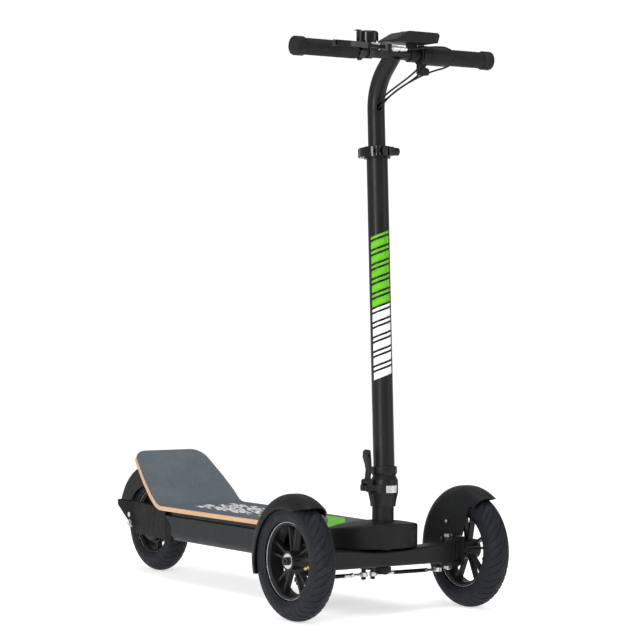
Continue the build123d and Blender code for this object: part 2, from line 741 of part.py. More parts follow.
def display_screen():
    high = display_levels()[1]
    return at_bar(block(28, 84, -30, 18, high - 2, high - 0.4))


def display_button():
    high = display_levels()[1]
    return at_bar(fillet(rod_z(4.5, high - 4, high + 1.2, 18, -6).edges().group_by(Axis.Z)[-1], 0.8))


def throttle_case():
    case = rod_x(throttle_r, 84 + face_gap, left_grip_inner - trim_gap)
    case = chamfer(case.edges(), 1.5) + rod_x(15.6, 62, 90) + rod_x(17.5, 62, 66 - face_gap)
    return at_bar(case - rod_x(bar_r, 0, 200))


def throttle_paddle():
    ring = rod_x(paddle_ring_r, 66, 84)
    arm = block(68, 82, -2, 13, -38, -10)
    paddle = Pos(82, 8, -33) * Box(26, 10, 16)
    paddle = fillet(paddle.edges().filter_by(Axis.Y), 6)
    return at_bar(ring + arm + paddle - rod_x(15.6 + face_gap, 0, 200))


def cable(points):
    """A round cable along straight runs joined by tangent arcs, each as large as its two runs allow."""
    places = [Vector(*p) for p in points]
    radii = []
    for before, here, after in zip(places, places[1:], places[2:]):
        run_in = here - before
        run_out = after - here
        half_turn = math.radians(run_in.get_angle(run_out)) / 2
        radii.append(0.45 * min(run_in.length, run_out.length) / math.tan(half_turn))
    path = FilletPolyline(*points, radius=radii)
    tube = sweep(Plane(origin=path @ 0, z_dir=path % 0) * Circle(cable_r), path)
    print("cable radii", [round(r, 1) for r in radii], "volume ratio",
          round(tube.volume / (math.pi * cable_r ** 2 * path.length), 4), "length", round(path.length, 1))
    return tube


def brake_cable():
    start = (adjuster_end - 4.5, bar_y - 39, bar_z + 5.5)
    return cable([start, (20, -62.2, 1184.2), (48, -65, 1190), (78, -69, 1193), (102, -73, 1192.5), (118, -75, 1180),
                  (116, -76, 1162), (98, -74, 1150), (72, -69, 1143), (46, -60, 1132), (23, -44, 1117),
                  (7, -25, 1102), (-2, -5, 1086), (-4, 12, 1073), (-4, 27, 1066)])


def display_cable():
    start = (60, -44, bar_z + display_levels()[0] - 0.2)
    return cable([start, (59.8, -44.3, 1184), (54, -52, 1165), (40, -55, 1146), (22, -46, 1128), (6, -29, 1111),
                  (-5, -8, 1096), (-8, 11, 1083.5), (-7.2, 27, 1074)])


def throttle_cable():
    start = (63.2, bar_y - 8, bar_z - 16)
    return cable([start, (61, -36, 1149), (52, -43, 1137), (38, -44, 1126), (23, -35, 1114), (11, -18, 1101),
                  (3, 0, 1088), (-0.6, 14, 1079), (-0.8, 27, 1073)])


# ---------------------------------------------------------------- deck and chassis


def board(low, high, inset):
    """The deck's bent sheet between two heights above the wood's top, with its outline drawn in by inset."""
    kick = math.radians(kick_deg)
    centre_z = deck_top + kick_bend_r
    start_y = kick_y - kick_bend_r * math.tan(kick / 2)

    def bend(offset, angle):
        r = kick_bend_r - offset
        return (start_y + r * math.sin(angle), centre_z - r * math.cos(angle))

    def tip(offset, reach):
        base = bend(offset, kick)
        return (base[0] + reach * math.cos(kick), base[1] + reach * math.sin(kick))

    reach = kick_length - kick_bend_r * math.tan(kick / 2) - inset
    first = deck_front + inset
    lower = Line((first, deck_top + low), bend(low, 0)) + ThreePointArc(bend(low, 0), bend(low, kick / 2),
                                                                     bend(low, kick))
    upper = ThreePointArc(bend(high, kick), bend(high, kick / 2), bend(high, 0)) + Line(
        bend(high, 0), (first, deck_top + high))
    ends = Line(bend(low, kick), tip(low, reach)) + Line(tip(low, reach), tip(high, reach)) + Line(
        tip(high, reach), bend(high, kick)) + Line((first, deck_top + high), (first, deck_top + low))
    sheet = extrude(Plane.YZ * make_face(lower + upper + ends), 200, both=True)
    flat = make_face(Polyline(
        (-deck_front_half + inset, deck_front + inset), (deck_front_half - inset, deck_front + inset),
        (deck_rear_half - inset, kick_y - 120), (deck_rear_half - inset, kick_y + 60),
        (inset - deck_rear_half, kick_y + 60), (inset - deck_rear_half, kick_y - 120), close=True))
    flat = fillet(flat.vertices().group_by(Axis.Y)[0], 14)
    width = deck_rear_half - inset
    tip_half = kick_tip_half - inset
    blade = make_face(Polyline(
        (-width, -80), (width, -80), (width, 40), (width - 5, 90), (tip_half + 8, kick_length - 40),
        (tip_half, kick_length - inset), (-tip_half, kick_length - inset), (-tip_half - 8, kick_length - 40),
        (5 - width, 90), (-width, 40), close=True))
    blade = fillet(blade.vertices().group_by(Axis.Y)[-1], kick_corner_r)
    on_kick = Pos(0, kick_y, deck_top) * Rot(kick_deg, 0, 0)
    kick_tool = on_kick * Pos(0, 0, -40) * extrude(blade, 80)
    kick_zone = on_kick * block(-300, 300, 0, 400, -60, 60)
    flat_tool = Pos(0, 0, 100) * extrude(flat, 160)
    return (sheet & kick_zone & kick_tool) + ((sheet & flat_tool) - kick_zone)


def deck_board():
    return board(-deck_wood, 0, 0)


def grip_tape():
    return board(0, tape_thickness, 0.8)


def arm_inner_half(y):
    """Inside face of a rear arm at a place along the machine."""
    share = min(max((y - tray_rear_high) / (arm_straight_y - tray_rear_high), 0), 1)
    return tray_half + (arm_tip_half - tray_half) * share - arm_thickness


def top_plate():
    rear = kick_y + 30
    half = arm_inner_half(rear) - 3
    plate = plan([(-plate_half, deck_front), (plate_half, deck_front), (plate_half, tray_rear_high - 20),
                  (half, rear), (-half, rear), (-plate_half, tray_rear_high - 20)], tray_top, plate_top)
    return plate + block(-neck_half_width, neck_half_width, deck_front - 30, deck_front, tray_top, plate_top - 4)


def tray_side(shift):
    return [(tray_front + shift, tray_bottom + shift), (tray_rear_low - shift, tray_bottom + shift),
            (tray_rear_low - shift, tray_knee_z), (tray_rear_high - shift, tray_top), (tray_front + shift, tray_top)]


def battery_tray():
    body = side(tray_side(0), -tray_half, tray_half)
    body = fillet(body.edges().filter_by(Axis.Y).group_by(Axis.Z)[0], tray_round)
    w = tray_wall
    inside = side([(tray_front + w, tray_bottom + w), (tray_rear_low - w, tray_bottom + w),
                   (tray_rear_low - w, tray_knee_z), (tray_rear_high - w, tray_top + 1), (tray_front + w, tray_top + 1)],
                  w - tray_half, tray_half - w)
    inside = fillet(inside.edges().filter_by(Axis.Y).group_by(Axis.Z)[0], tray_round - w)
    body -= inside
    return body - charge_hole(9.0)


def charge_hole(r):
    return rod_x(r, tray_half - 30, tray_half + 30, 620, 127)


def charge_socket():
    """Charging inlet in the left wall, with a plain 8 mm bore for its plug."""
    socket = rod_x(9, tray_half - 16, tray_half, 620, 127) + rod_x(12, tray_half, tray_half + 2, 620, 127)
    return socket - rod_x(4, tray_half - 12, tray_half + 10, 620, 127)


def battery_pack():
    pack = block(-85, 85, 130, 520, tray_bottom + tray_wall, tray_bottom + tray_wall + 46)
    return fillet(pack.edges().filter_by(Axis.Y), 5)


def controller():
    box = block(-60, 60, 540, 665, tray_bottom + tray_wall, tray_bottom + tray_wall + 30)
    for step in range(9):
        x = -56 + step * 14
        box += block(x - 2, x + 2, 545, 660, tray_bottom + tray_wall + 29, tray_bottom + tray_wall + 36)
    return box


def nose_form(inset):
    """The nose's outer form: a round front cut off at the deck, under a shallow dome."""
    r = nose_r - inset
    plan_shape = Pos(0, nose_y) * Circle(r) + Pos(0, nose_y + 50) * Rectangle(2 * r, 100)
    column = Pos(0, 0, nose_bottom - inset * 2) * extrude(plan_shape, 100)
    column &= block(-200, 200, -200, deck_front - face_gap - inset, 0, 400)
    corner = math.hypot(nose_r, deck_front - 12)
    drop = nose_peak - nose_shoulder
    ball_r = (corner ** 2 + drop ** 2) / (2 * drop)
    return column & (Pos(0, 12, nose_peak - ball_r) * Sphere(ball_r - inset))


def nose_cover():
    cover = nose_form(0)
    rim = cover.edges().filter_by(lambda e: e.center().Z > nose_shoulder - 2 and e.center().Y < nose_y + 5)
    cover = fillet(rim, 5)
    cover -= nose_form(nose_wall) & block(-200, 200, -200, 200, 0, 400)
    cover -= block(-neck_half_width - 3, neck_half_width + 3, 20, 90, 0, plate_top - 2)
    return cover - rod_z(stem_r + body_gap, 0, 400, 0, column_y)


# ---------------------------------------------------------------- rear end


def rear_arms():
    """Two side plates that carry on from the tray and close in on the rear axle."""
    w = tray_half
    t = arm_thickness
    tip = arm_tip_half
    strip = [(w, 600), (w, tray_rear_high), (tip, arm_straight_y), (tip, arm_tip_y + 10), (tip - t, arm_tip_y + 10),
             (tip - t, arm_straight_y), (w - t, tray_rear_high), (w - t, 600)]
    outline = [(tray_rear_low + trim_gap, tray_bottom), (wheelbase - 32, tray_bottom - 3),
               (wheelbase - 18, 96), (wheelbase - 1, 109),
               (arm_tip_y, 158), (arm_tip_y, plate_top), (tray_rear_high + trim_gap, plate_top),
               (tray_rear_high + trim_gap, tray_top), (tray_rear_low + trim_gap, tray_knee_z)]
    plate = plan(strip, 0, 300) & side(outline, 0, 200)
    rail_strip = [(w, 600), (w, tray_rear_high), (tip, arm_straight_y), (tip, arm_tip_y), (tip - t - 8, arm_tip_y),
                  (tip - t - 8, arm_straight_y), (w - t - 8, tray_rear_high), (w - t - 8, 600)]
    rail = plan(rail_strip, plate_top, plate_top + 5) & block(0, 200, kick_y + 34, arm_tip_y, 0, 300)
    for step in range(4):
        y = arm_tip_y - 16 - step * 14
        rail -= block(tip - 4, tip + 10, y - 3, y + 3, plate_top + 2, plate_top + 10)
    arm = plate + rail
    arm -= rod_x(axle_r, 0, 200, wheelbase, rear_tyre_r)
    arm -= rod_x(3, 0, 200, wheelbase + 8, rear_tyre_r + 20)
    return Compound(children=[arm, mirrored(arm)])


def rear_axle():
    y = wheelbase
    z = rear_tyre_r
    inside = arm_tip_half - arm_thickness
    axle = rod_x(axle_r, -arm_tip_half - 10, arm_tip_half + 10, y, z)
    collar = rod_x(10, motor_boss_half + disc_thickness + face_gap, inside, y, z)
    axle += collar + mirrored(collar)
    nut = hex_x(17, arm_tip_half, arm_tip_half + 7, y, z) - rod_x(axle_r, 0, 200, y, z)
    bolt = rod_x(3, inside - 4, arm_tip_half + 1, y + 8, z + 20) + rod_x(6, arm_tip_half, arm_tip_half + 4, y + 8,
                                                                       z + 20)
    return Compound(children=[axle, nut, mirrored(nut), bolt, mirrored(bolt)])


def rear_fender():
    """A hooped mudguard between the arms, on a cross bar, with a small reflector lip behind the board."""
    half = rear_fender_half
    r = rear_fender_r
    w = fender_wall
    skirt = rear_fender_skirt
    hoop = make_face(Polyline((-half, r - skirt), (-half, r), (half, r), (half, r - skirt), close=True))
    hoop = fillet(hoop.vertices().group_by(Axis.Y)[-1], 10)
    inside = make_face(Polyline((-half + w, 0), (-half + w, r - w), (half - w, r - w), (half - w, 0),
                                close=True))
    inside = fillet(inside.vertices().group_by(Axis.Y)[-1], 10 - w)
    start = rear_fender_start_deg - 90
    arc = rear_fender_start_deg - rear_fender_end_deg
    shell = Rot(start, 0, 0) * (Plane.XZ * (hoop - inside))
    guard = revolve(shell, Axis((0, 0, 0), (-1, 0, 0)), revolution_arc=arc)
    lip = Pos(0, *polar(r + 4, 38)) * Rot(-38, 0, 0) * Box(40, 22, 10)
    guard += lip - rod_x(r - w, -100, 100)
    guard = Pos(0, wheelbase, rear_tyre_r) * guard
    bar_y0 = wheelbase - r + 3
    reach = arm_inner_half(bar_y0 + 8)
    tie = block(-reach - 5, reach + 5, bar_y0, bar_y0 + 8, tray_top - 8, plate_top - 4)
    tie -= rear_arms()
    tie -= Pos(0, wheelbase, rear_tyre_r) * rod_x(r - w, -half + w, half - w)
    return guard + tie


def brake_caliper():
    """Straddles the disc ahead of the axle, on a bracket from the left arm."""
    y = wheelbase - 52
    z = rear_tyre_r + 28
    disc0 = motor_boss_half - 0.5
    disc1 = motor_boss_half + disc_thickness + 0.5
    body = block(disc0 - 3.4, disc1 + 16, y - 18, y + 16, z - 16, z + 15)
    body = fillet(body.edges().filter_by(Axis.X), 4)
    body -= Pos(0, wheelbase, rear_tyre_r) * rod_x(disc_r + 1.5, disc0, disc1)
    bracket = block(disc1 + 15, arm_tip_half + 20, y - 8, y + 8, z - 5, z + 3)
    bracket = bracket - rear_arms() - block(arm_inner_half(y + 8), 200, y - 40, y + 40, 0, 300)
    foot = block(arm_inner_half(y + 8) - 4, 200, y - 8, y + 8, z - 5, z + 3) - rear_arms() - block(
        arm_inner_half(y - 8) + 2, 200, 0, 2000, 0, 300)
    return body + bracket + foot


def all_parts():
    front_wheel = Pos(half_track, 0, front_tyre_r)
    rear_wheel = Pos(0, wheelbase, rear_tyre_r)
    parts = {
        "deck_board": deck_board(),
        "grip_tape": grip_tape(),
        "top_plate": top_plate(),
        "battery_tray": battery_tray(),
        "battery_pack": battery_pack(),
        "controller": controller(),
        "charge_socket": charge_socket(),
        "nose_cover": nose_cover(),
        "front_beam": front_beam(),
        "kingpins": kingpins(),
        "rear_arms": rear_arms(),
        "rear_axle": rear_axle(),
        "rear_fender": rear_fender(),
        "brake_caliper": brake_caliper(),
        "rear_tyre": rear_wheel * tyre(rear_tyre_r, rear_bead_r),
        "rear_rim": rear_wheel * rear_rim(),
        "hub_motor": rear_wheel * hub_motor(),
        "brake_disc": rear_wheel * brake_disc(),
        "steering_shaft": steering_shaft(),
        "pitman_arm": pitman_arm(),
        "fold_cup": fold_cup(),
        "fold_pin": fold_pin(),
        "latch_plate": latch_plate(),
        "fold_lever": fold_lever(),
        "fold_head": fold_head(),
        "mast_tube": mast_tube(),
        "clamp_collar": clamp_collar(),
        "clamp_bolt": clamp_bolt(),
        "clamp_lever": clamp_lever(),
        "post_tube": post_tube(),
        "handlebar": handlebar(),
        "grip_right": mirrored(grip(right_grip_inner)),
        "grip_left": grip(left_grip_inner),
        "brake_perch": brake_perch(),
        "brake_lever": brake_lever(),
        "cable_adjuster": cable_adjuster(),
        "bell_body": bell_body(),
        "bell_striker": bell_striker(),
        "display_case": display_case(),
        "display_screen": display_screen(),
        "display_button": display_button(),
        "throttle_case": throttle_case(),
        "throttle_paddle": throttle_paddle(),
        "brake_cable": brake_cable(),
        "display_cable": display_cable(),
        "throttle_cable": throttle_cable(),
    }
    left = {
        "knuckle": knuckle(),
        "fender": front_fender(),
        "tie_rod": tie_rod(),
        "tyre": front_wheel * tyre(front_tyre_r, front_bead_r),
        "rim": front_wheel * front_rim(),
        "bearings": front_wheel * bearings(),
        "valve": front_wheel * valve(),
    }
    for name, shape in left.items():
        parts[name + "_left"] = shape
        parts[name + "_right"] = mirrored(shape)
    return parts


def write_parts():
    os.makedirs("parts", exist_ok=True)
    for name, shape in all_parts().items():
        export_step(Pos(0, -mid_y, 0) * shape, "parts/" + name + ".step")


write_parts()
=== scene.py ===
import json
import math

import bpy
from mathutils import Matrix, Vector


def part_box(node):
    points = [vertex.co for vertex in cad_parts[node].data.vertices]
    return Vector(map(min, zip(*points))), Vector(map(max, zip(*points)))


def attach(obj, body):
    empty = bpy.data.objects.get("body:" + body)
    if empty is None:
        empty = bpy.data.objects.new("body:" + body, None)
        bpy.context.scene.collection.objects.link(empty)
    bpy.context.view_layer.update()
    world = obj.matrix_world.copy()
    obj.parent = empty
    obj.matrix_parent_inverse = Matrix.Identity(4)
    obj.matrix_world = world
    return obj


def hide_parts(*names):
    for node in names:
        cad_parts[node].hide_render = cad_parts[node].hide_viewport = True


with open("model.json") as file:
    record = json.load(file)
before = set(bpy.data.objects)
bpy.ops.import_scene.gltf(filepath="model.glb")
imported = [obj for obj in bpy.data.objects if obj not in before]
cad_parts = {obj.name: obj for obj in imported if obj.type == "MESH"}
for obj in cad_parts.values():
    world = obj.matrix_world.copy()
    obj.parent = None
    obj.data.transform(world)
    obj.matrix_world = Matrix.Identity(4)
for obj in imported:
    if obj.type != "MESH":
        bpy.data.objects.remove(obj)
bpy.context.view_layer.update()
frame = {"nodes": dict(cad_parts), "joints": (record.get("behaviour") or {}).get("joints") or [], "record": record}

# Looks for the three-wheeled electric stand-up board. Metres, +Z up; the rider faces -Y and +X is their left.
# The CAD nodes keep their shapes and get materials. Tyres, grips and cables are rebuilt here in finer detail,
# and trim that the CAD leaves out, such as screws and graphics, is added on the body that carries it.

nodes = frame["nodes"]
record = frame["record"]
joints = {joint["name"]: joint for joint in frame["joints"]}
mounts = {mount["name"]: mount for mount in record["mounts"]}
MM = 0.001


def box_of(node):
    """Lowest corner, highest corner and middle of a CAD node."""
    low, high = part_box(node)
    return low, high, (low + high) / 2


# ---------------------------------------------------------------- materials


class Paint:
    """One procedural material, with short calls for the nodes it needs."""

    def __init__(self, name, roughness=0.5, metallic=0.0, coat=0.0, coat_roughness=0.1, specular=0.5):
        self.material = bpy.data.materials.new(name)
        self.material.use_nodes = True
        self.tree = self.material.node_tree
        self.shader = self.tree.nodes["Principled BSDF"]
        self.shader.inputs["Roughness"].default_value = roughness
        self.shader.inputs["Metallic"].default_value = metallic
        self.shader.inputs["Coat Weight"].default_value = coat
        self.shader.inputs["Coat Roughness"].default_value = coat_roughness
        self.shader.inputs["Specular IOR Level"].default_value = specular
        self.place = self.add("ShaderNodeTexCoord").outputs["Object"]

    def add(self, kind, **settings):
        node = self.tree.nodes.new(kind)
        for key, value in settings.items():
            setattr(node, key, value)
        return node

    def put(self, socket, value):
        """Links an output to a socket, or sets the socket to a plain value."""
        if isinstance(value, bpy.types.NodeSocket):
            self.tree.links.new(value, socket)
        else:
            socket.default_value = value

    def set(self, name, value):
        self.put(self.shader.inputs[name], value)

    def math(self, operation, a, b=0.0):
        node = self.add("ShaderNodeMath", operation=operation)
        self.put(node.inputs[0], a)
        self.put(node.inputs[1], b)
        return node.outputs[0]

    def axes(self):
        node = self.add("ShaderNodeSeparateXYZ")
        self.put(node.inputs[0], self.place)
        return node.outputs

    def stretched(self, scale):
        """The place, with each axis scaled."""
        node = self.add("ShaderNodeVectorMath", operation="MULTIPLY")
        self.put(node.inputs[0], self.place)
        self.put(node.inputs[1], scale)
        return node.outputs[0]

    def noise(self, scale, detail=3.0, stretch=None, rough=0.5):
        node = self.add("ShaderNodeTexNoise")
        self.put(node.inputs["Vector"], self.stretched(stretch) if stretch else self.place)
        self.put(node.inputs["Scale"], scale)
        self.put(node.inputs["Detail"], detail)
        self.put(node.inputs["Roughness"], rough)
        return node.outputs["Fac"]

    def cells(self, scale):
        node = self.add("ShaderNodeTexVoronoi")
        self.put(node.inputs["Vector"], self.place)
        self.put(node.inputs["Scale"], scale)
        return node.outputs["Distance"]

    def spread(self, value, low, high, to_low=0.0, to_high=1.0):
        """Value's range low..high carried to to_low..to_high, and held there."""
        node = self.add("ShaderNodeMapRange")
        self.put(node.inputs["Value"], value)
        for socket, number in zip(("From Min", "From Max", "To Min", "To Max"), (low, high, to_low, to_high)):
            self.put(node.inputs[socket], number)
        return node.outputs[0]

    def mix(self, factor, a, b):
        node = self.add("ShaderNodeMix", data_type="RGBA")
        self.put(node.inputs["Factor"], factor)
        self.put(node.inputs[6], colour(a))
        self.put(node.inputs[7], colour(b))
        return node.outputs[2]

    def edge(self, radius, low=0.90, high=0.995):
        """1 along edges sharper than the radius, 0 on open faces."""
        rounded = self.add("ShaderNodeBevel", samples=4)
        self.put(rounded.inputs["Radius"], radius)
        flat = self.add("ShaderNodeNewGeometry").outputs["Normal"]
        dot = self.add("ShaderNodeVectorMath", operation="DOT_PRODUCT")
        self.put(dot.inputs[0], rounded.outputs[0])
        self.put(dot.inputs[1], flat)
        return self.spread(dot.outputs["Value"], low, high, 1.0, 0.0)

    def bump(self, height, distance, strength=1.0, under=None):
        node = self.add("ShaderNodeBump")
        self.put(node.inputs["Height"], height)
        self.put(node.inputs["Distance"], distance)
        self.put(node.inputs["Strength"], strength)
        if under is not None:
            self.put(node.inputs["Normal"], under)
        self.set("Normal", node.outputs[0])
        return node.outputs[0]


def colour(value):
    """A three-part colour with full alpha added; anything else unchanged."""
    return (*value, 1.0) if isinstance(value, tuple) and len(value) == 3 else value


def coated_metal(name, base, worn, roughness, grain=1400.0, coat=0.0, specular=0.19):
    """Paint or powder coat: fine orange peel, cloudy sheen, and edges lightened in patches, partly rubbed wear and
    partly a painted highlight.
    """
    paint = Paint(name, coat=coat, specular=specular)
    cloud = paint.noise(9.0, 4.0)
    shade = paint.mix(paint.spread(cloud, 0.35, 0.7), base, tuple(c * 1.35 for c in base))
    # Patches along the edges take the worn colour, which stands for both rubbed wear and a painted highlight on
    # the edges.
    wear_and_highlight_mask = paint.math("MULTIPLY", paint.edge(0.7 * MM), paint.spread(paint.noise(160.0), 0.45, 0.62))
    paint.set("Base Color", paint.mix(wear_and_highlight_mask, shade, worn))
    paint.set("Roughness", paint.spread(paint.noise(45.0, 5.0), 0.3, 0.7, roughness - 0.05, roughness + 0.08))
    paint.bump(paint.noise(grain, 2.0), 0.03 * MM, 0.5)
    return paint.material


def moulded(name, base, roughness, grain=2200.0):
    """Moulded plastic: pebbled grain, faint handling marks and a painted highlight that lightens every edge."""
    paint = Paint(name, specular=0.15)
    scuff = paint.spread(paint.noise(34.0, 6.0, (1.0, 0.25, 1.0), 0.65), 0.52, 0.75)
    shade = paint.mix(scuff, base, tuple(c * 1.5 + 0.003 for c in base))
    # Painted highlight: every edge is lightened evenly towards a paler tone.
    paint.set("Base Color", paint.mix(paint.math("MULTIPLY", paint.edge(0.8 * MM), 0.45), shade,
                                      tuple(c * 2.2 + 0.01 for c in base)))
    paint.set("Roughness", paint.spread(paint.noise(60.0, 4.0), 0.3, 0.7, roughness - 0.06, roughness + 0.07))
    paint.bump(paint.cells(grain), 0.05 * MM, 0.6)
    return paint.material


def bare_metal(name, base, roughness):
    """Plated or turned metal with fine tool lines and dull patches."""
    paint = Paint(name, metallic=1.0)
    line = paint.noise(900.0, 4.0)
    paint.set("Base Color", paint.mix(paint.spread(paint.noise(70.0, 5.0), 0.35, 0.75), base,
                                      tuple(c * 0.62 for c in base)))
    paint.set("Roughness", paint.spread(line, 0.3, 0.7, roughness - 0.07, roughness + 0.1))
    paint.bump(line, 0.02 * MM, 0.4)
    return paint.material


def plywood(top, kick_y, kick_deg, layers, thickness):
    """Maple plies that follow the board round its kick, seen on the edge, with grain along the plies."""
    paint = Paint("maple_plywood", coat=0.35, coat_roughness=0.25)
    _, y, z = paint.axes()
    down = paint.math("SUBTRACT", top, z)
    tilt = math.radians(kick_deg)
    back = paint.math("SUBTRACT", y, kick_y)
    tilted = paint.math("ADD", paint.math("MULTIPLY", down, math.cos(tilt)),
                        paint.math("MULTIPLY", back, math.sin(tilt)))
    depth = paint.math("MAXIMUM", down, tilted)
    ply = paint.math("MULTIPLY", depth, layers / thickness)
    band = paint.math("PINGPONG", ply, 1.0)
    grain = paint.noise(60.0, 6.0, (3.0, 0.12, 14.0), 0.6)
    pale = paint.mix(paint.spread(grain, 0.3, 0.7), (0.70, 0.45, 0.26), (0.58, 0.34, 0.18))
    dark = paint.mix(paint.spread(grain, 0.3, 0.7), (0.52, 0.29, 0.15), (0.42, 0.22, 0.11))
    seam = paint.spread(paint.math("FRACT", ply), 0.0, 0.10, 0.35, 0.0)
    wood = paint.mix(paint.spread(band, 0.35, 0.65), pale, dark)
    paint.set("Base Color", paint.mix(seam, wood, (0.28, 0.13, 0.05)))
    paint.set("Roughness", paint.spread(grain, 0.3, 0.7, 0.38, 0.58))
    paint.bump(grain, 0.08 * MM, 0.5)
    return paint.material


def grip_tape():
    """Sanded tape: slate grit with bright grains and a faintly trodden middle."""
    paint = Paint("grip_tape", specular=0.12)
    grit = paint.noise(1500.0, 2.0)
    coarse = paint.noise(420.0, 3.0)
    worn = paint.noise(11.0, 5.0)
    shade = paint.mix(paint.spread(coarse, 0.36, 0.64), (0.066, 0.080, 0.094), (0.104, 0.124, 0.140))
    shade = paint.mix(paint.spread(worn, 0.4, 0.75, 0.0, 0.35), shade, (0.145, 0.165, 0.182))
    paint.set("Base Color", paint.mix(paint.spread(grit, 0.60, 0.72, 0.0, 0.7), shade, (0.34, 0.37, 0.39)))
    paint.set("Roughness", paint.spread(grit, 0.4, 0.7, 0.92, 0.62))
    rough = paint.bump(coarse, 0.25 * MM, 0.5)
    paint.bump(grit, 0.2 * MM, 0.9, rough)
    return paint.material


def rubber(name, base, dust, roughness, dust_share, shaded_grooves=False):
    """Rubber with a dusty bloom and a fine skin; where it has a tread, its grooves are darkened with painted
    shade.
    """
    paint = Paint(name, specular=0.16)
    bloom = paint.spread(paint.noise(26.0, 6.0, None, 0.6), 0.42, 0.72, 0.0, dust_share)
    shade = paint.mix(bloom, base, dust)
    if shaded_grooves:
        # Painted shade: the tread's grooves are darkened by their depth.
        cut = paint.add("ShaderNodeAttribute", attribute_name="groove").outputs["Fac"]
        shade = paint.mix(cut, shade, tuple(c * 0.18 for c in base))
    paint.set("Base Color", shade)
    paint.set("Roughness", paint.spread(paint.noise(85.0, 4.0), 0.3, 0.7, roughness - 0.07, roughness + 0.08))
    fine = paint.bump(paint.noise(2600.0, 2.0), 0.04 * MM, 0.5)
    paint.bump(paint.noise(330.0, 3.0), 0.06 * MM, 0.4, fine)
    return paint.material


def print_ink(name, base):
    """Screen-printed graphic: flat ink with pinholes and a slightly uneven coat."""
    paint = Paint(name, specular=0.2)
    thin = paint.spread(paint.noise(700.0, 3.0), 0.62, 0.72, 0.0, 0.45)
    shade = paint.mix(paint.spread(paint.noise(30.0, 4.0), 0.35, 0.7), base, tuple(c * 0.86 for c in base))
    paint.set("Base Color", paint.mix(thin, shade, tuple(c * 0.35 for c in base)))
    paint.set("Roughness", paint.spread(paint.noise(120.0), 0.3, 0.7, 0.42, 0.58))
    paint.bump(paint.noise(1500.0), 0.03 * MM, 0.5)
    return paint.material


def display_glass():
    """Dark window with a wiped, smudged gloss."""
    paint = Paint("display_glass", coat=1.0, coat_roughness=0.04, specular=0.6)
    smear = paint.noise(90.0, 6.0, (0.4, 1.6, 1.0), 0.6)
    paint.set("Base Color", paint.mix(paint.spread(smear, 0.4, 0.8), (0.006, 0.008, 0.010),
                                      (0.018, 0.024, 0.028)))
    paint.set("Roughness", paint.spread(smear, 0.35, 0.75, 0.10, 0.28))
    paint.bump(smear, 0.01 * MM, 0.3)
    return paint.material


def cell_wrap():
    """Heat-shrunk sleeve round the battery's cells."""
    paint = Paint("cell_wrap", coat=0.4, coat_roughness=0.2)
    fold = paint.noise(55.0, 5.0, (1.0, 0.3, 1.0), 0.6)
    paint.set("Base Color", paint.mix(paint.spread(fold, 0.3, 0.75), (0.012, 0.075, 0.21),
                                      (0.03, 0.13, 0.32)))
    paint.set("Roughness", paint.spread(fold, 0.3, 0.7, 0.25, 0.42))
    paint.bump(fold, 0.6 * MM, 0.5)
    return paint.material


deck_z = mounts["deck_top"]["pos_m"][2]
wood_top = deck_z - 1.0 * MM
_, deck_high, _ = box_of("deck_board")
kick_deg = 38.0
kick_y = deck_high.y - (deck_high.z - wood_top) / math.tan(math.radians(kick_deg))

materials = {
    "wood": plywood(wood_top, kick_y, kick_deg, 7, 10.0 * MM),
    "grip": grip_tape(),
    "black_alloy": coated_metal("satin_black_powder", (0.0070, 0.0070, 0.0076), (0.035, 0.035, 0.037), 0.36),
    "black_steel": coated_metal("satin_black_paint", (0.0070, 0.0070, 0.0078), (0.05, 0.05, 0.052), 0.42,
                                1100.0),
    "hull_plastic": moulded("hull_plastic", (0.0125, 0.0135, 0.0155), 0.42, 1900.0),
    "black_plastic": moulded("black_plastic", (0.0080, 0.0084, 0.0092), 0.46),
    "gloss_black": coated_metal("gloss_black_lacquer", (0.004, 0.004, 0.0045), (0.03, 0.03, 0.031), 0.17,
                                700.0, 0.25),
    "inner_plastic": cell_wrap(),
    "steel": bare_metal("zinc_plated_steel", (0.66, 0.66, 0.68), 0.27),
    "brass": bare_metal("brass", (0.72, 0.52, 0.20), 0.30),
    # The tyre rubber paints shade into its tread grooves.
    "tyre": rubber("tyre_rubber", (0.0085, 0.0096, 0.0125), (0.022, 0.0245, 0.0295), 0.60, 0.40, True),
    "grip_rubber": rubber("grip_rubber", (0.0085, 0.0088, 0.0095), (0.024, 0.025, 0.028), 0.62, 0.4),
    "cable": rubber("cable_jacket", (0.006, 0.006, 0.007), (0.016, 0.016, 0.018), 0.30, 0.3),
    "screen": display_glass(),
}
arm_powder = coated_metal("matt_black_powder", (0.0070, 0.0070, 0.0076), (0.02, 0.02, 0.021), 0.62,
                          specular=0.10)
white_ink = print_ink("white_ink", (0.86, 0.86, 0.86))
green_ink = print_ink("green_ink", (0.118, 0.48, 0.008))


def dress(obj, material):
    """Gives an object one material in place of all it had."""
    obj.data.materials.clear()
    obj.data.materials.append(material)


FLAT_SIDED = ("rear_arms", "battery_tray", "top_plate")


def soften(node, width):
    """Welds a CAD node's facets and rounds its sharp edges a little."""
    weld = node.modifiers.new("weld", "WELD")
    weld.merge_threshold = 0.002 * MM
    bevel = node.modifiers.new("round_edges", "BEVEL")
    bevel.width = width
    bevel.segments = 2
    bevel.limit_method = "ANGLE"
    bevel.angle_limit = math.radians(40)
    bevel.use_clamp_overlap = True
    normals = node.modifiers.new("even_shading", "WEIGHTED_NORMAL")
    normals.keep_sharp = True
    for polygon in node.data.polygons:
        polygon.use_smooth = node.name not in FLAT_SIDED


EDGE_WIDTH = {"deck_board": 0.8, "battery_tray": 1.0, "nose_cover": 0.9, "front_beam": 0.8, "rear_arms": 0.9}
for part in record["subparts"]:
    node = nodes[part["node"]]
    dress(node, arm_powder if part["node"] == "rear_arms" else materials[part["material_slot"]])
    soften(node, EDGE_WIDTH.get(part["node"], 0.35) * MM)


# ---------------------------------------------------------------- mesh helpers


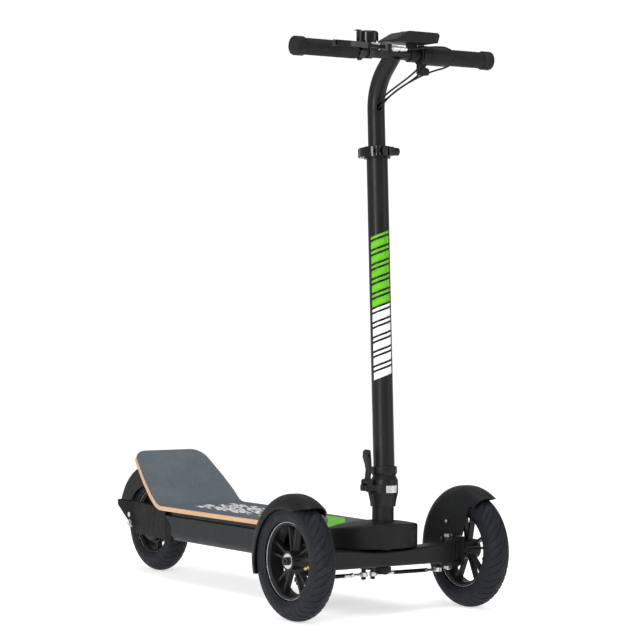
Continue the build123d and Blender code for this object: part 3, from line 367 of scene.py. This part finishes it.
def mesh_piece(name, points, faces, material, body, smooth=True):
    """A new piece, in the row frame, that rides on a body."""
    mesh = bpy.data.meshes.new(name)
    mesh.from_pydata([tuple(p) for p in points], [], faces)
    mesh.validate()
    for polygon in mesh.polygons:
        polygon.use_smooth = smooth
    obj = bpy.data.objects.new(name, mesh)
    bpy.context.scene.collection.objects.link(obj)
    obj.data.materials.append(material)
    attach(obj, body)
    return obj


def sharp_shading(obj, angle_deg=35.0):
    """Keeps smooth shading, but only across edges flatter than the angle."""
    obj.data.set_sharp_from_angle(angle=math.radians(angle_deg))
    return obj


def side_axes(axis):
    """Two unit vectors square to the axis and to each other."""
    axis = Vector(axis).normalized()
    helper = Vector((0, 0, 1)) if abs(axis.z) < 0.9 else Vector((0, 1, 0))
    first = axis.cross(helper).normalized()
    return first, axis.cross(first).normalized()


def ring_faces(rings, around, close_rings):
    """Quads that join each ring of points to the next."""
    faces = []
    last = rings if close_rings else rings - 1
    for i in range(last):
        for j in range(around):
            a = i * around + j
            b = i * around + (j + 1) % around
            c = ((i + 1) % rings) * around + (j + 1) % around
            d = ((i + 1) % rings) * around + j
            faces.append((a, b, c, d))
    return faces


def lathe(profile, origin, axis, steps=72, closed=False, ripple=None):
    """Points and faces of (radius, height) points turned about an axis; open ends are capped."""
    origin = Vector(origin)
    axis = Vector(axis).normalized()
    first, second = side_axes(axis)
    points = []
    for radius, height in profile:
        for j in range(steps):
            angle = 2 * math.pi * j / steps
            r = radius + (ripple(radius, height, angle) if ripple else 0.0)
            out = first * math.cos(angle) + second * math.sin(angle)
            points.append(origin + axis * height + out * r)
    faces = ring_faces(len(profile), steps, closed)
    if not closed:
        faces.append(tuple(reversed(range(steps))))
        faces.append(tuple(range((len(profile) - 1) * steps, len(profile) * steps)))
    return points, faces


def prism(outline, place, thickness):
    """Points and faces of a flat outline, placed by a function of its two coordinates and a height."""
    count = len(outline)
    points = [place(u, v, 0.0) for u, v in outline] + [place(u, v, thickness) for u, v in outline]
    faces = [tuple(reversed(range(count))), tuple(range(count, 2 * count))]
    for i in range(count):
        j = (i + 1) % count
        faces.append((i, j, count + j, count + i))
    return points, faces


def socket_bolt(name, place, axis, radius, height, body, material=None):
    """Button-head bolt with a hexagonal socket, its underside at place."""
    hexagon = radius * 0.5
    steps = 36

    def flats(r, h, angle):
        if r > hexagon * 1.01:
            return 0.0
        turn = (angle + math.pi / 6) % (math.pi / 3) - math.pi / 6
        return hexagon * 0.92 / math.cos(turn) - r

    profile = [(radius * 0.96, 0), (radius, height * 0.15), (radius, height * 0.55),
               (radius * 0.93, height * 0.85), (radius * 0.80, height), (radius * 0.62, height),
               (hexagon, height), (hexagon, height * 0.35)]
    points, faces = lathe(profile, place, axis, steps, ripple=flats)
    piece = mesh_piece(name, points, faces, material or materials["steel"], body)
    return sharp_shading(piece)


def flat_head(name, place, axis, radius, body, material):
    """Countersunk screw head with a cross recess, flush with the surface but for a fine lip."""
    lip = 0.35 * MM
    steps = 48

    def cross(r, h, angle):
        if r > radius * 0.56:
            return 0.0
        arm = abs(math.cos(2 * angle))
        return r * (arm ** 3 - 0.55) * 0.8

    profile = [(radius, 0.0), (radius, lip * 0.6), (radius * 0.93, lip), (radius * 0.56, lip),
               (radius * 0.5, lip), (radius * 0.44, -0.2 * MM)]
    points, faces = lathe(profile, place, axis, steps, ripple=cross)
    return sharp_shading(mesh_piece(name, points, faces, material, body))


# ---------------------------------------------------------------- tyres and wheels

TYRE_SECTION_R = 27.0 * MM
TREAD_DEPTH = 1.7 * MM
TYRE_WALL = 4.5 * MM
INSIDE_DEG = (118.0, 60.0, 0.0, -60.0, -118.0)


def groove(side_deg, turn, pitches):
    """Depth share of the tread at an angle round the section and a turn of the wheel."""
    share = 0.0
    lean = abs(side_deg) / 70.0
    if 12.0 < abs(side_deg) < 66.0:
        phase = (turn * pitches + lean * 1.35 + (0.5 if side_deg > 0 else 0.0)) % 1.0
        share = max(share, 1.25 - abs(phase - 0.5) / 0.09)
    if abs(side_deg) < 34.0:
        phase = (turn * pitches * 0.5 - side_deg / 55.0) % 1.0
        share = max(share, 1.1 - abs(phase - 0.5) / 0.06)
    return max(0.0, min(1.0, share))


def tread_tyre(name, node, body, pitches):
    """A tyre with slanted tread grooves, a shoulder rib and moulding rings on its walls."""
    low, high, middle = box_of(node)
    outer_r = (high.z - low.z) / 2
    bead_deg = 128.0
    across = 56
    around = 720
    centre_r = outer_r - TYRE_SECTION_R
    points = []
    depths = []

    def put_point(angle, side_deg, r, cut):
        side = math.radians(side_deg)
        radial = centre_r + r * math.cos(side)
        points.append(middle + Vector((r * math.sin(side), radial * math.sin(angle),
                                       radial * math.cos(angle))))
        depths.append(cut)

    for i in range(around):
        turn = i / around
        angle = 2 * math.pi * turn
        for j in range(across + 1):
            side_deg = -bead_deg + 2 * bead_deg * j / across
            cut = groove(side_deg, turn, pitches)
            r = TYRE_SECTION_R - TREAD_DEPTH * cut
            if abs(abs(side_deg) - 84.0) < 3.0 or abs(abs(side_deg) - 112.0) < 3.0:
                r -= 0.45 * MM
            put_point(angle, side_deg, r, cut)
        for side_deg in INSIDE_DEG:
            put_point(angle, side_deg, TYRE_SECTION_R - TYRE_WALL, 0.0)
    faces = ring_faces(around, across + 1 + len(INSIDE_DEG), True)
    tyre = mesh_piece(name, points, [tuple(reversed(f)) for f in faces], materials["tyre"], body)
    # The groove depth is kept on the tyre, and its material uses it to paint shade into the grooves.
    tyre.data.attributes.new("groove", "FLOAT", "POINT").data.foreach_set("value", depths)
    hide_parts(node)
    return tyre


def rim_line(name, wheel_middle, radius, x, body):
    """Bright machined edge of a rim's lip."""
    half = 0.8 * MM
    profile = []
    for k in range(10):
        angle = 2 * math.pi * k / 10
        profile.append((radius + half * math.sin(angle), half * 0.8 * math.cos(angle)))
    points, faces = lathe(profile, wheel_middle + Vector((x, 0, 0)), (1, 0, 0), 160, closed=True)
    return mesh_piece(name, points, faces, materials["steel"], body)


def dress_wheel(tag, tyre_node, rim_node, body, pitches):
    """A treaded tyre and the bright lines of its rim."""
    tread_tyre("tread_" + tag, tyre_node, body, pitches)
    low, high, middle = box_of(rim_node)
    lip_r = (high.z - low.z) / 2
    for side in (-1, 1):
        word = "in" if side < 0 else "out"
        rim_line(f"rim_line_{tag}_{word}", middle, lip_r - 1.1 * MM, side * 18.4 * MM, body)


dress_wheel("left", "tyre_left", "rim_left", "wheel_left", 40)
dress_wheel("right", "tyre_right", "rim_right", "wheel_right", 40)
dress_wheel("rear", "rear_tyre", "rear_rim", "rear_wheel", 38)


def motor_screws():
    """Six cover screws on each face of the hub motor."""
    _, _, middle = box_of("hub_motor")
    face = 26.0 * MM
    for side in (-1, 1):
        for turn in range(6):
            angle = math.radians(60 * turn + 30)
            place = middle + Vector((side * face, 36 * MM * math.sin(angle), 36 * MM * math.cos(angle)))
            name = f"motor_screw_{turn}_{'a' if side < 0 else 'b'}"
            socket_bolt(name, place, (side, 0, 0), 3.0 * MM, 2.0 * MM, "rear_wheel")


motor_screws()


def axis_between(node):
    """The two far ends of a slim straight node."""
    points = [v.co for v in nodes[node].data.vertices]
    _, _, middle = box_of(node)
    far = max(points, key=lambda p: (p - middle).length)
    other = max(points, key=lambda p: (p - far).length)
    return far.copy(), other.copy()


def valve_caps():
    """Long dark knurled cap over the outer part of each valve."""
    for side in ("left", "right"):
        a, b = axis_between("valve_" + side)
        inner, outer = (a, b) if abs(a.x) < abs(b.x) else (b, a)
        lean = (outer - inner).normalized()

        def knurl(radius, height, angle):
            return -0.16 * MM * (0.5 + 0.5 * math.cos(18 * angle))

        cap_r = 4.5 * MM
        long = 31.0 * MM
        profile = [(cap_r - 0.5 * MM, 0.0), (cap_r, 0.6 * MM), (cap_r, long * 0.5), (cap_r, long - 2.4 * MM),
                   (cap_r - 0.6 * MM, long - 0.6 * MM), (cap_r - 1.6 * MM, long)]
        start = outer - lean * (long - 0.3 * MM)
        points, faces = lathe(profile, start, lean, 72, ripple=knurl)
        sharp_shading(mesh_piece("valve_cap_" + side, points, faces, materials["black_plastic"],
                                 "wheel_" + side))


def tie_rod_sleeves():
    """Black tube over the middle of each tie rod, between its bright threaded ends."""
    for side in ("left", "right"):
        _, _, middle = box_of("tie_rod_" + side)
        sign = 1.0 if middle.x > 0 else -1.0
        inner = Vector((sign * 12 * MM, front_axle_y + 57 * MM, middle.z))
        outer = Vector((sign * 182 * MM, front_axle_y + 52 * MM, middle.z))
        along = (outer - inner).normalized()
        tube_r = 4.4 * MM
        first = 52.0 * MM
        long = 84.0 * MM
        profile = [(tube_r - 0.5 * MM, 0.0), (tube_r, 0.5 * MM), (tube_r, long * 0.35), (tube_r, long * 0.65),
                   (tube_r, long - 0.5 * MM), (tube_r - 0.5 * MM, long)]
        points, faces = lathe(profile, inner + along * first, along, 40)
        sharp_shading(mesh_piece("rod_tube_" + side, points, faces, materials["black_steel"],
                                 "tie_rod_" + side))


front_axle_y = joints["knuckle_left_turn"]["pos_m"][1]
valve_caps()
tie_rod_sleeves()


# ---------------------------------------------------------------- handlebar


def grip_sleeve(node, name):
    """A rubber grip with fine ribs between plain bands, and a swollen end."""
    low, high, middle = box_of(node)
    outward = 1.0 if middle.x > 0 else -1.0
    inner_x = low.x if outward > 0 else high.x
    length = high.x - low.x
    origin = Vector((inner_x, middle.y, middle.z))
    sleeve_r = 17.5 * MM
    end_r = (high.z - low.z) / 2
    end_length = 24.0 * MM

    def ribs(radius, height, angle):
        if radius < sleeve_r - 0.1 * MM or radius > sleeve_r + 0.1 * MM:
            return 0.0
        return -0.28 * MM * (0.5 + 0.5 * math.cos(56 * angle))

    profile = [(13.0 * MM, 0.0), (15.5 * MM, 0.0), (16.9 * MM, 0.6 * MM), (17.3 * MM, 2.0 * MM),
               (17.3 * MM, 5.0 * MM)]
    flute_end = length - end_length - 3 * MM
    count = 16
    for k in range(count + 1):
        profile.append((sleeve_r, 5.5 * MM + (flute_end - 5.5 * MM) * k / count))
    swell = length - end_length
    profile += [(17.3 * MM, flute_end + 0.5 * MM), (17.3 * MM, swell), (end_r - 1.2 * MM, swell),
                (end_r, swell + 1.4 * MM), (end_r, length - 4.0 * MM), (end_r - 0.8 * MM, length - 1.6 * MM),
                (end_r - 3.0 * MM, length - 0.3 * MM), (end_r - 6.0 * MM, length), (5.0 * MM, length),
                (4.0 * MM, length - 1.0 * MM)]
    points, faces = lathe(profile, origin, (outward, 0, 0), 224, ripple=ribs)
    grip = mesh_piece(name, points, faces, materials["grip_rubber"], "post")
    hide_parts(node)
    return sharp_shading(grip, 50)


grip_sleeve("grip_right", "ribbed_grip_right")
grip_sleeve("grip_left", "ribbed_grip_left")

# Each cable's route, in millimetres from the ground point under the front axle, is the same as the CAD's.
CABLE_R = 2.0 * MM
CABLE_ROUTES = {
    "brake_cable": [(-1.5, -62, 1183.5), (20, -62.2, 1184.2), (48, -65, 1190), (78, -69, 1193),
                    (102, -73, 1192.5), (118, -75, 1180), (116, -76, 1162), (98, -74, 1150),
                    (72, -69, 1143), (46, -60, 1132), (23, -44, 1117), (7, -25, 1102), (-2, -5, 1086),
                    (-4, 12, 1073), (-4, 27, 1066)],
    "display_cable": [(60, -44, 1199.5), (59.8, -44.3, 1184), (54, -52, 1165), (40, -55, 1146),
                      (22, -46, 1128), (6, -29, 1111), (-5, -8, 1096), (-8, 11, 1083.5), (-7.2, 27, 1074)],
    "throttle_cable": [(63.2, -31, 1162), (61, -36, 1149), (52, -43, 1137), (38, -44, 1126), (23, -35, 1114),
                       (11, -18, 1101), (3, 0, 1088), (-0.6, 14, 1079), (-0.8, 27, 1073)],
}


def cable_curve(node):
    """The node's cable as a round, smooth curve through the same control points."""
    curve = bpy.data.curves.new(node + "_curve", "CURVE")
    curve.dimensions = "3D"
    curve.bevel_depth = CABLE_R
    curve.bevel_resolution = 5
    curve.resolution_u = 10
    curve.use_fill_caps = True
    line = curve.splines.new("NURBS")
    route = CABLE_ROUTES[node]
    line.points.add(len(route) - 1)
    for point, (x, y, z) in zip(line.points, route):
        point.co = (x * MM, y * MM + front_axle_y, z * MM, 1.0)
    line.order_u = 3
    line.use_endpoint_u = True
    obj = bpy.data.objects.new("jacket_" + node, curve)
    bpy.context.scene.collection.objects.link(obj)
    obj.data.materials.append(materials["cable"])
    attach(obj, "post")
    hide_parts(node)
    return obj


for cable_node in CABLE_ROUTES:
    cable_curve(cable_node)


# ---------------------------------------------------------------- graphics


def deck_graphics():
    """Printed on the grip tape: slanted green bands in front, and jagged white shards behind them."""
    ink = 0.12 * MM
    sunk = 0.05 * MM

    def on_tape(x, y, h):
        return Vector((x * MM, front_axle_y + y * MM, deck_z - sunk + h))

    bands = [
        [(-74, 108), (-34, 108), (30, 186), (82, 262), (82, 338), (20, 236), (-30, 168)],
        [(-82, 322), (-66, 318), (-20, 396), (-34, 424), (-50, 416), (-70, 372)],
        [(-84, 176), (-76, 172), (-34, 236), (-20, 268), (-30, 276), (-66, 232)],
    ]
    for number, outline in enumerate(bands):
        points, faces = prism(outline, on_tape, ink + sunk)
        mesh_piece(f"deck_band_{number}", points, faces, green_ink, "chassis", smooth=False)

    rows = 13
    for row in range(rows):
        x = -54 + 110 * row / (rows - 1)
        for step in range(6):
            wobble = math.sin(row * 12.99 + step * 78.23) * 43758.5453
            chance = wobble - math.floor(wobble)
            y = 446 + step * 38 + 26 * chance + 10 * math.sin(row * 1.7)
            long = 20 + 34 * ((chance * 7.31) % 1.0)
            wide = 2.6 + 3.4 * ((chance * 3.17) % 1.0)
            lean = 5.0 + 3.0 * math.sin(row + step)
            shard = [(x - wide, y), (x, y - 7), (x + wide * 0.7, y + 5),
                     (x + wide + lean, y + long * 0.55), (x + lean * 1.4, y + long),
                     (x + lean * 0.6, y + long * 0.62), (x - wide * 0.2, y + long * 0.4)]
            points, faces = prism(shard, on_tape, ink + sunk)
            mesh_piece(f"deck_shard_{row}_{step}", points, faces, white_ink, "chassis", smooth=False)


deck_graphics()


def tube_foot(node, axis):
    """Middle of the lower end of a round tube that leans along the axis, and the tube's radius."""
    low, high, _ = box_of(node)
    radius = (high.x - low.x) / 2
    return Vector((0, low.y + radius * axis.z, low.z + radius * axis.y)), radius


def mast_graphics():
    """Bold slanted stripes wrapped on the mast's front, white below and green above."""
    axis = Vector(joints["height_slide"]["axis"]).normalized()
    foot, radius = tube_foot("mast_tube", axis)
    facing = math.radians(29)
    ahead = Vector((-math.sin(facing), -math.cos(facing), 0))
    toward = (ahead - axis * ahead.dot(axis)).normalized()
    right = toward.cross(axis)
    columns = 14

    def stripe(name, left, far, low, tall, material):
        """A stripe from angle left to angle far, which falls as it goes round."""
        points = []
        for lift in (-sunk, ink):
            for i in range(columns + 1):
                angle = left + (far - left) * i / columns
                out = toward * math.cos(angle) + right * math.sin(angle)
                fall = slant * (angle + wide) / (2 * wide)
                for height in (low, low + tall):
                    points.append(foot + axis * (start + height - fall) + out * (radius + lift))
        faces = []
        top = 2 * (columns + 1)
        for i in range(columns):
            a = 2 * i
            faces.append((top + a, top + a + 2, top + a + 3, top + a + 1))
            faces.append((a, a + 1, a + 3, a + 2))
            faces.append((a, a + 2, top + a + 2, top + a))
            faces.append((a + 1, top + a + 1, top + a + 3, a + 3))
        faces.append((0, top, top + 1, 1))
        end = 2 * columns
        faces.append((end, end + 1, top + end + 1, top + end))
        mesh_piece(name, points, faces, material, "mast")

    start = 0.222
    ink = 0.10 * MM
    sunk = 0.04 * MM
    wide = math.radians(56)
    slant = 15.0 * MM
    broad = 15.5 * MM
    fine = 5.5 * MM
    gap = 4.8 * MM
    height = 0.0
    for ink_name, material in (("white", white_ink), ("green", green_ink)):
        for block in range(5):
            stripe(f"mast_broad_{ink_name}_{block}", -wide, wide, height, broad, material)
            height += broad + gap
            stripe(f"mast_fine_{ink_name}_{block}", -wide, wide, height, fine, material)
            height += fine + gap


mast_graphics()


# ---------------------------------------------------------------- fasteners and seams


def fender_bolts():
    """A bright bolt in each front fender's boss, facing the middle of the machine."""
    boss_x = 188.0 * MM
    for side, sign in (("left", 1), ("right", -1)):
        place = Vector((sign * boss_x, front_axle_y + 31 * MM, 184 * MM))
        socket_bolt("fender_bolt_" + side, place, (-sign, 0, 0), 3.6 * MM, 1.8 * MM, "knuckle_" + side)


def tray_screws():
    """Screws along the underside of the battery tray."""
    low, high, _ = box_of("battery_tray")
    rows = 5
    for row in range(rows):
        y = low.y + 0.06 + (high.y - low.y - 0.17) * row / (rows - 1)
        for side in (-1, 1):
            place = Vector((side * 0.082, y, low.z))
            flat_head(f"tray_screw_{row}_{'r' if side < 0 else 'l'}", place, (0, 0, -1), 3.6 * MM, "chassis",
                      materials["steel"])


fender_bolts()
tray_screws()


# ---------------------------------------------------------------- stage, lights and camera


def studio():
    """A pale floor and a plain white surround, which the lens sees brighter than the object does."""
    floor_glow = 0.55
    surround = 0.50
    seen_surround = 1.05
    paint = Paint("pale_floor", roughness=0.9)
    paint.set("Base Color", paint.mix(paint.spread(paint.noise(1.5, 3.0), 0.3, 0.7), (0.93, 0.93, 0.93),
                                      (0.90, 0.90, 0.90)))
    paint.shader.inputs["Emission Color"].default_value = (1.0, 1.0, 1.0, 1.0)
    paint.shader.inputs["Emission Strength"].default_value = floor_glow
    half = 30.0
    mesh = bpy.data.meshes.new("floor")
    corners = [(-half, -half, 0), (half, -half, 0), (half, half, 0), (-half, half, 0)]
    mesh.from_pydata(corners, [], [(0, 1, 2, 3)])
    floor = bpy.data.objects.new("floor", mesh)
    bpy.context.scene.collection.objects.link(floor)
    floor.data.materials.append(paint.material)

    world = bpy.data.worlds.new("studio")
    bpy.context.scene.world = world
    world.use_nodes = True
    tree = world.node_tree
    background = tree.nodes["Background"]
    background.inputs["Color"].default_value = (1.0, 1.0, 1.0, 1.0)
    seen = tree.nodes.new("ShaderNodeLightPath").outputs["Is Camera Ray"]
    strength = tree.nodes.new("ShaderNodeMapRange")
    strength.inputs["To Min"].default_value = surround
    strength.inputs["To Max"].default_value = seen_surround
    tree.links.new(seen, strength.inputs["Value"])
    tree.links.new(strength.outputs[0], background.inputs["Strength"])
    bpy.context.scene.view_settings.view_transform = "Standard"


def area_light(name, place, target, wide, tall, watts):
    """A soft rectangular light that faces a target."""
    light = bpy.data.lights.new(name, "AREA")
    light.shape = "RECTANGLE"
    light.size = wide
    light.size_y = tall
    light.energy = watts
    obj = bpy.data.objects.new(name, light)
    bpy.context.scene.collection.objects.link(obj)
    obj.location = place
    obj.rotation_mode = "QUATERNION"
    obj.rotation_quaternion = (Vector(target) - Vector(place)).to_track_quat("-Z", "Y")
    return obj


studio()
area_light("key", (-3.6, -1.9, 1.5), (0, -0.25, 0.6), 0.7, 2.4, 95)
area_light("top", (-0.4, -0.8, 3.2), (0, 0, 0.2), 2.2, 2.2, 45)
area_light("fill", (2.2, -3.2, 1.2), (0, -0.3, 0.5), 1.2, 1.6, 16)


def photo_camera():
    """The main view: from the front right, at about the height of the mast's middle, through a long lens."""
    place = Vector((-2.8883, -4.4447, 0.6608))
    yaw = math.radians(34.377)
    pitch = math.radians(0.4966)
    roll = math.radians(0.4038)
    lens = 131.27
    ahead = Vector((math.sin(yaw) * math.cos(pitch), math.cos(yaw) * math.cos(pitch), -math.sin(pitch)))
    flat_right = ahead.cross(Vector((0, 0, 1))).normalized()
    flat_up = flat_right.cross(ahead)
    right = flat_right * math.cos(roll) + flat_up * math.sin(roll)
    up = flat_up * math.cos(roll) - flat_right * math.sin(roll)
    data = bpy.data.cameras.new("camera")
    data.sensor_width = 36.0
    data.lens = lens
    camera = bpy.data.objects.new("camera", data)
    bpy.context.scene.collection.objects.link(camera)
    turn = Matrix((right, up, -ahead)).transposed()
    camera.matrix_world = Matrix.Translation(place) @ turn.to_4x4()
    bpy.context.scene.camera = camera


photo_camera()
